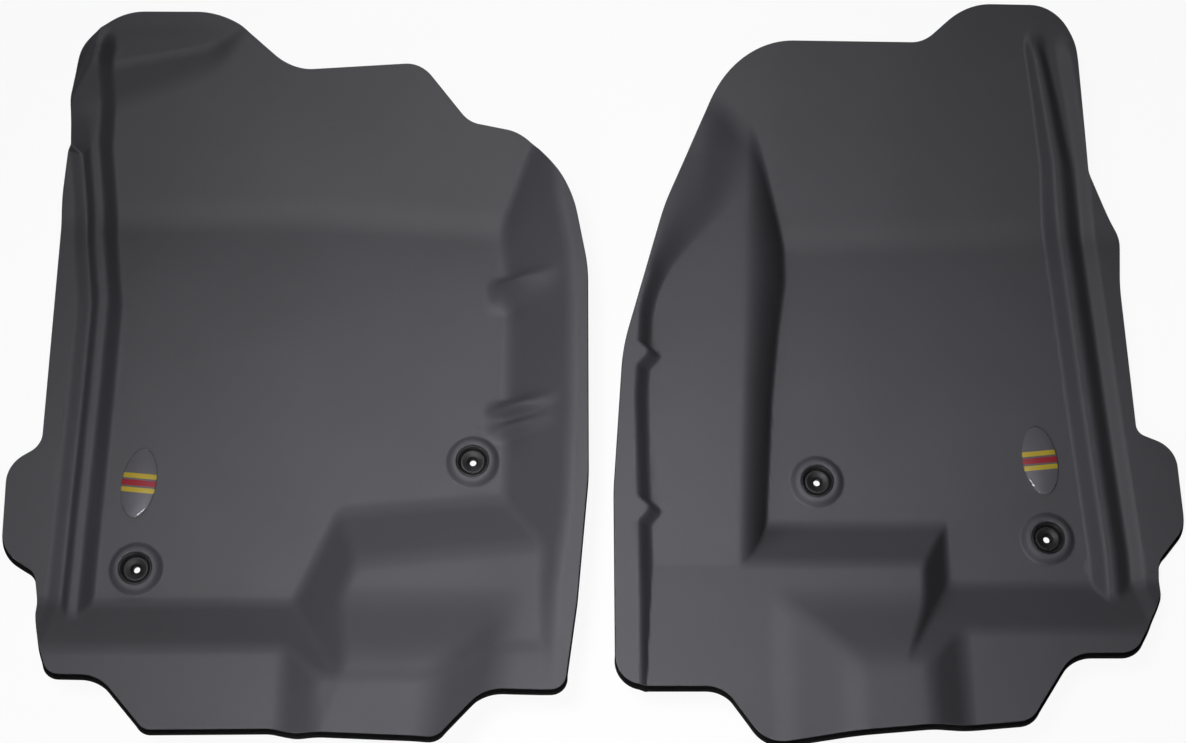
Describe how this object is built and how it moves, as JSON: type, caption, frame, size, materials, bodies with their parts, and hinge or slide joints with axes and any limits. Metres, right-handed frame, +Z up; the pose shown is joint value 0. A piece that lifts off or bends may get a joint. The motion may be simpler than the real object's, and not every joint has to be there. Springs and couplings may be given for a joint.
{
  "type": "floor mat set",
  "caption": "Driver and passenger deep-moulded rubber floor liners with sill ribs, toe boards, tunnel walls, stepped rear ends, quarter-turn retention grommets and oval domed badges.",
  "frame": {"origin": "centre of the set's footprint, on the surface the liners lie on", "axes": "+X from the driver's liner to the passenger's, +Y to the toe boards at the front, +Z up"},
  "size_m": [1.321, 0.8386, 0.1379],
  "materials": {
    "rubber_skin": "fine-grained matte dark grey rubber",
    "felt_backing": "black foam and felt, matte",
    "grommet_nylon": "black moulded nylon, satin",
    "plug_nylon": "black moulded nylon, satin",
    "badge_print": "grey printed plate, satin",
    "badge_resin": "clear domed resin, glossy"
  },
  "bodies": {
    "driver_mat": {"driver_mat_skin": "rubber_skin", "driver_mat_backing": "felt_backing", "driver_inboard_grommet_cup": "grommet_nylon", "driver_inboard_lock_ring": "grommet_nylon", "driver_outboard_grommet_cup": "grommet_nylon", "driver_outboard_lock_ring": "grommet_nylon", "driver_badge_plate": "badge_print", "driver_badge_dome": "badge_resin"},
    "driver_inboard_plug": {"driver_inboard_plug": "plug_nylon"},
    "driver_outboard_plug": {"driver_outboard_plug": "plug_nylon"},
    "passenger_mat": {"passenger_mat_skin": "rubber_skin", "passenger_mat_backing": "felt_backing", "passenger_inboard_grommet_cup": "grommet_nylon", "passenger_inboard_lock_ring": "grommet_nylon", "passenger_outboard_grommet_cup": "grommet_nylon", "passenger_outboard_lock_ring": "grommet_nylon", "passenger_badge_plate": "badge_print", "passenger_badge_dome": "badge_resin"},
    "passenger_inboard_plug": {"passenger_inboard_plug": "plug_nylon"},
    "passenger_outboard_plug": {"passenger_outboard_plug": "plug_nylon"}
  },
  "joints": [
    {"name": "passenger_mat_lift", "type": "slide", "parent": "driver_mat", "child": "passenger_mat", "axis": [0, 0, 1], "range_m": [0, 0.3]},
    {"name": "driver_inboard_plug_turn", "type": "hinge", "parent": "driver_mat", "child": "driver_inboard_plug", "pos_m": [-0.13609, -0.09371, 0.006], "axis": [0, 0, 1], "range_deg": [0, 90]},
    {"name": "driver_outboard_plug_turn", "type": "hinge", "parent": "driver_mat", "child": "driver_outboard_plug", "pos_m": [-0.50809, -0.21771, 0.006], "axis": [0, 0, 1], "range_deg": [0, 90]},
    {"name": "passenger_inboard_plug_turn", "type": "hinge", "parent": "passenger_mat", "child": "passenger_inboard_plug", "pos_m": [0.2528, -0.11742, 0.006], "axis": [0, 0, 1], "range_deg": [0, 90]},
    {"name": "passenger_outboard_plug_turn", "type": "hinge", "parent": "passenger_mat", "child": "passenger_outboard_plug", "pos_m": [0.5078, -0.18342, 0.006], "axis": [0, 0, 1], "range_deg": [0, 90]}
  ]
}
